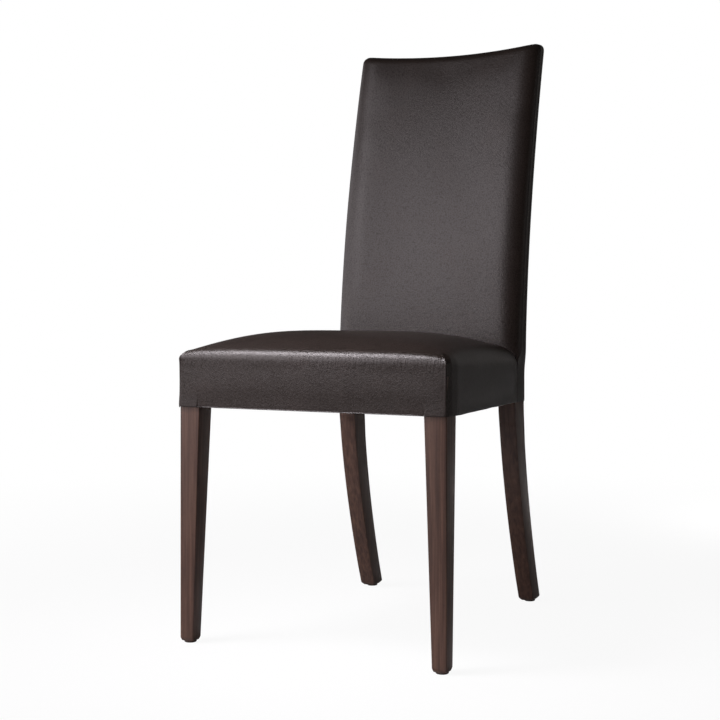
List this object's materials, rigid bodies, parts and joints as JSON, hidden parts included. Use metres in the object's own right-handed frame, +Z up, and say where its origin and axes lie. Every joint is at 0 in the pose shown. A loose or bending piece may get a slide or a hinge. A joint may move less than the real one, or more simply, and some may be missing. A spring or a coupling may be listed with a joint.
{
  "type": "dining chair",
  "caption": "Upholstered dining chair with a high raked back, crowned box seat with skirt, tapered front legs and sabre rear legs",
  "frame": {"origin": "on the floor, under the centre of the chair's bounding box", "axes": "+Z up; the chair faces -Y, its back is at +Y; +X is to the right in a front view; the chair is symmetric about X = 0 and longest along Z"},
  "size_m": [0.45, 0.5702, 0.9736],
  "materials": {
    "leather": "dark brown upholstery leather, fine pebble grain, satin sheen",
    "stained_wood": "dark stained beech, satin lacquer",
    "frame_wood": "plain unfinished beech",
    "plywood": "bent plywood, unfinished",
    "foam": "cream upholstery foam",
    "webbing": "elastic upholstery webbing, dark grey",
    "black_cloth": "thin black non-woven cloth",
    "fasteners": "zinc-plated steel",
    "glides": "dark brown nail-on glides, matt"
  },
  "bodies": {
    "root": {"front_left_leg": "stained_wood", "front_right_leg": "stained_wood", "rear_left_post": "stained_wood", "rear_right_post": "stained_wood", "front_seat_rail": "frame_wood", "left_seat_rail": "frame_wood", "right_seat_rail": "frame_wood", "rear_seat_rail": "frame_wood", "crest_rail": "frame_wood", "low_back_rail": "frame_wood", "front_left_block": "frame_wood", "front_right_block": "frame_wood", "rear_left_block": "frame_wood", "rear_right_block": "frame_wood", "block_screws": "fasteners", "seat_webbing": "webbing", "seat_foam": "foam", "seat_cover": "leather", "dust_cover": "black_cloth", "dust_cover_staples": "fasteners", "back_plywood": "plywood", "back_foam": "foam", "back_cover": "leather", "rear_cover": "leather", "front_left_glide": "glides", "front_right_glide": "glides", "rear_left_glide": "glides", "rear_right_glide": "glides"}
  },
  "joints": []
}
